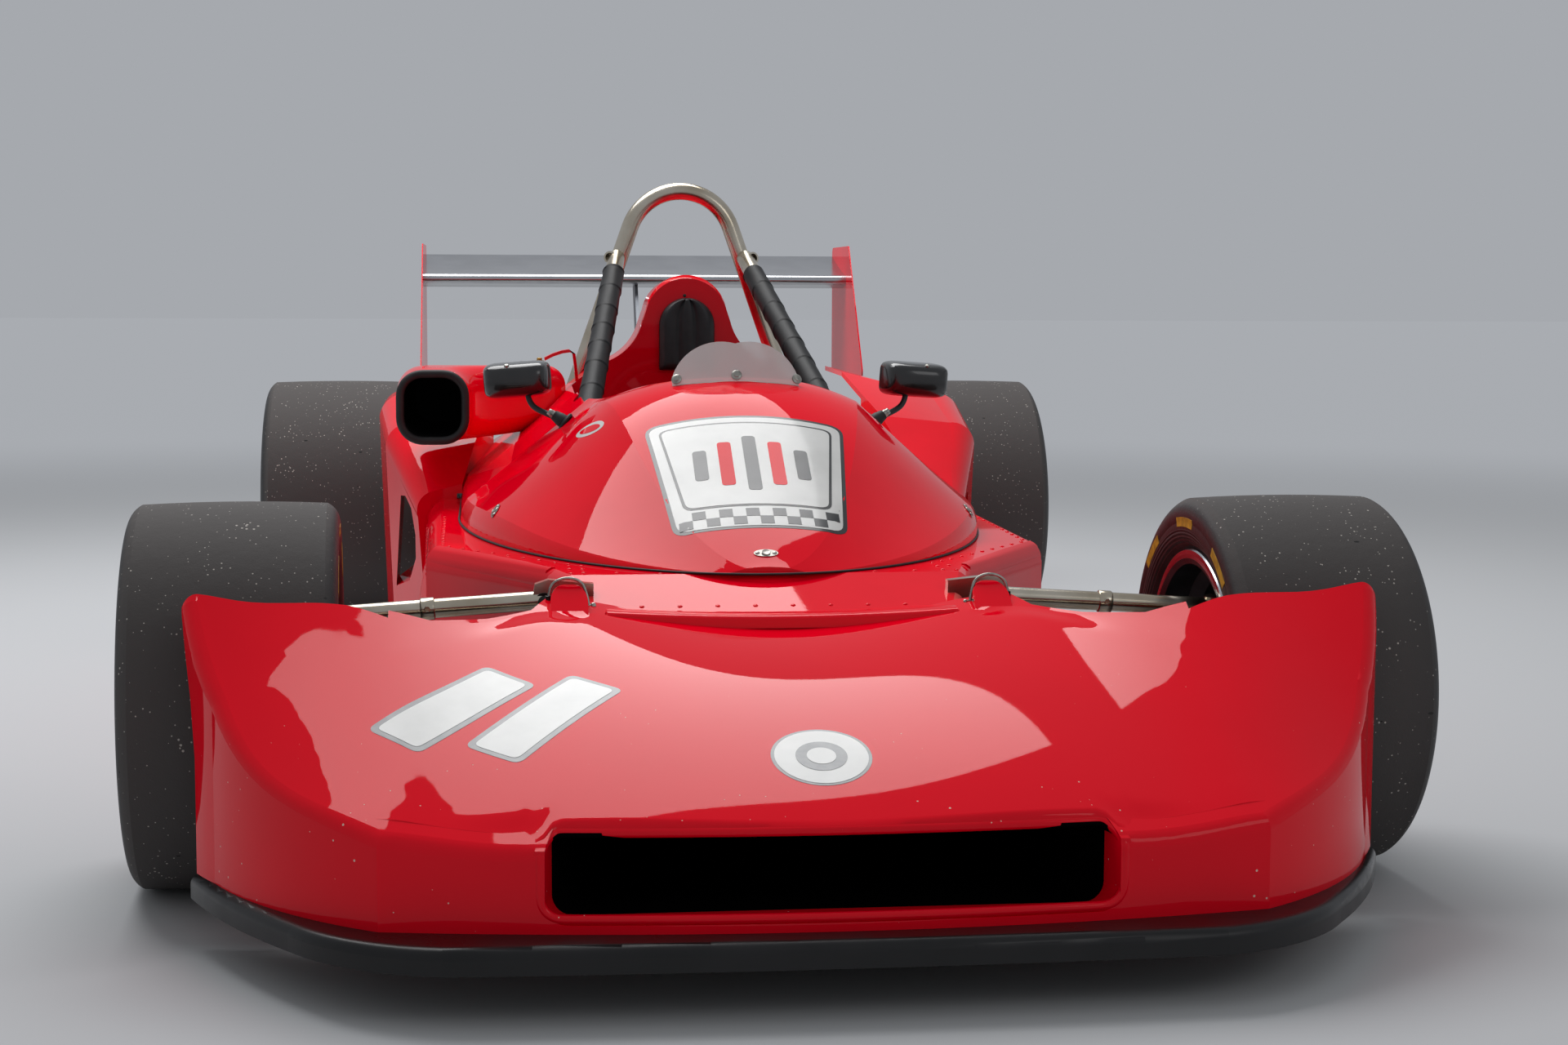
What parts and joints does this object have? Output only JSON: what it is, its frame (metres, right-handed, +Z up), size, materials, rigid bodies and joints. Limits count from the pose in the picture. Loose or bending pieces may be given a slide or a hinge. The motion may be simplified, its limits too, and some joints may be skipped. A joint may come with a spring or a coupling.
{
  "type": "open wheel racing car",
  "caption": "Single-seat open wheel racing car with full-width nose, roll hoop, slick tyres and rear wing; wheels roll and the front pair steers.",
  "frame": {"origin": "on the ground, on the centre line, halfway along the car", "axes": "-Y is the way the car drives, +X the driver's left hand, +Z up"},
  "size_m": [1.764, 4.1099, 0.9989],
  "materials": {
    "red_paint": "gloss racing red over alloy sheet and glass fibre",
    "black_rubber_lip": "semi-matt black moulding",
    "radiator_alloy": "black finned core",
    "clear_screen": "clear moulded screen",
    "black_panel": "black",
    "seat_cloth": "black cloth over foam",
    "nickel_tube": "nickel-plated tube",
    "black_tape": "tape wound over foam",
    "cast_alloy": "as-cast alloy",
    "polished_alloy": "polished sheet",
    "rim_alloy": "spun alloy rim with cast centre",
    "slick_tyre": "scrubbed slick",
    "disc_iron": "turned iron",
    "wheel_leather": "black leather rim"
  },
  "bodies": {
    "chassis": {"monocoque": "red_paint", "nose_cone": "red_paint", "front_splitter": "black_rubber_lip", "radiator": "radiator_alloy", "cockpit_panel": "red_paint", "windscreen": "clear_screen", "dashboard": "black_panel", "seat": "seat_cloth", "roll_hoop": "nickel_tube", "hoop_padding": "black_tape", "rear_cover": "red_paint", "headrest_pad": "seat_cloth", "sidepod_left": "red_paint", "sidepod_right": "red_paint", "intake_trunk": "red_paint", "engine": "cast_alloy", "gearbox": "cast_alloy", "front_suspension_left": "nickel_tube", "front_suspension_right": "nickel_tube", "rear_suspension_left": "nickel_tube", "rear_suspension_right": "nickel_tube", "rear_wing": "polished_alloy", "wing_endplates": "red_paint", "wing_post": "polished_alloy", "mirrors": "black_panel", "rack_housing": "cast_alloy"},
    "steering_rack": {"steering_rack": "nickel_tube"},
    "steering_wheel": {"steering_wheel": "wheel_leather"},
    "front_knuckle_left": {"front_knuckle_left": "cast_alloy"},
    "front_wheel_left": {"front_rim_left": "rim_alloy", "front_tyre_left": "slick_tyre", "front_hub_left": "disc_iron"},
    "rear_wheel_left": {"rear_rim_left": "rim_alloy", "rear_tyre_left": "slick_tyre", "half_shaft_left": "disc_iron"},
    "front_knuckle_right": {"front_knuckle_right": "cast_alloy"},
    "front_wheel_right": {"front_rim_right": "rim_alloy", "front_tyre_right": "slick_tyre", "front_hub_right": "disc_iron"},
    "rear_wheel_right": {"rear_rim_right": "rim_alloy", "rear_tyre_right": "slick_tyre", "half_shaft_right": "disc_iron"}
  },
  "joints": [
    {"name": "steer_left", "type": "hinge", "parent": "chassis", "child": "front_knuckle_left", "pos_m": [0.646, -1.345, 0.15], "axis": [-0.0888, 0, 0.9961], "range_deg": [-17.5, 12.5]},
    {"name": "front_wheel_spin_left", "type": "hinge", "parent": "front_knuckle_left", "child": "front_wheel_left", "pos_m": [0.70793, -1.3419, 0.25399], "axis": [0.9991, 0.0434, -0.0001], "continuous": true},
    {"name": "steer_right", "type": "hinge", "parent": "chassis", "child": "front_knuckle_right", "pos_m": [-0.646, -1.345, 0.15], "axis": [0.0888, 0, 0.9961], "range_deg": [-17.5, 12.5]},
    {"name": "front_wheel_spin_right", "type": "hinge", "parent": "front_knuckle_right", "child": "front_wheel_right", "pos_m": [-0.70793, -1.3481, 0.25399], "axis": [0.9991, 0.0434, 0.0001], "continuous": true},
    {"name": "rear_wheel_spin_left", "type": "hinge", "parent": "chassis", "child": "rear_wheel_left", "pos_m": [0.705, 1.095, 0.288], "axis": [1, 0, 0], "continuous": true},
    {"name": "rear_wheel_spin_right", "type": "hinge", "parent": "chassis", "child": "rear_wheel_right", "pos_m": [-0.705, 1.095, 0.288], "axis": [1, 0, 0], "continuous": true},
    {"name": "rack_slide", "type": "slide", "parent": "chassis", "child": "steering_rack", "axis": [1, 0, 0], "range_m": [-0.02646, 0.01904]},
    {"name": "steering_wheel_turn", "type": "hinge", "parent": "chassis", "child": "steering_wheel", "pos_m": [0, -0.603, 0.5], "axis": [0, 0.9679, 0.2514], "range_deg": [-158.5, 113.5]}
  ],
  "couplings": [
    {"joint": "steer_right", "follows": "steer_left", "ratio": 1},
    {"joint": "rack_slide", "follows": "steer_left", "m_per_rad": 0.085},
    {"joint": "steering_wheel_turn", "follows": "steer_left", "ratio": 9}
  ]
}
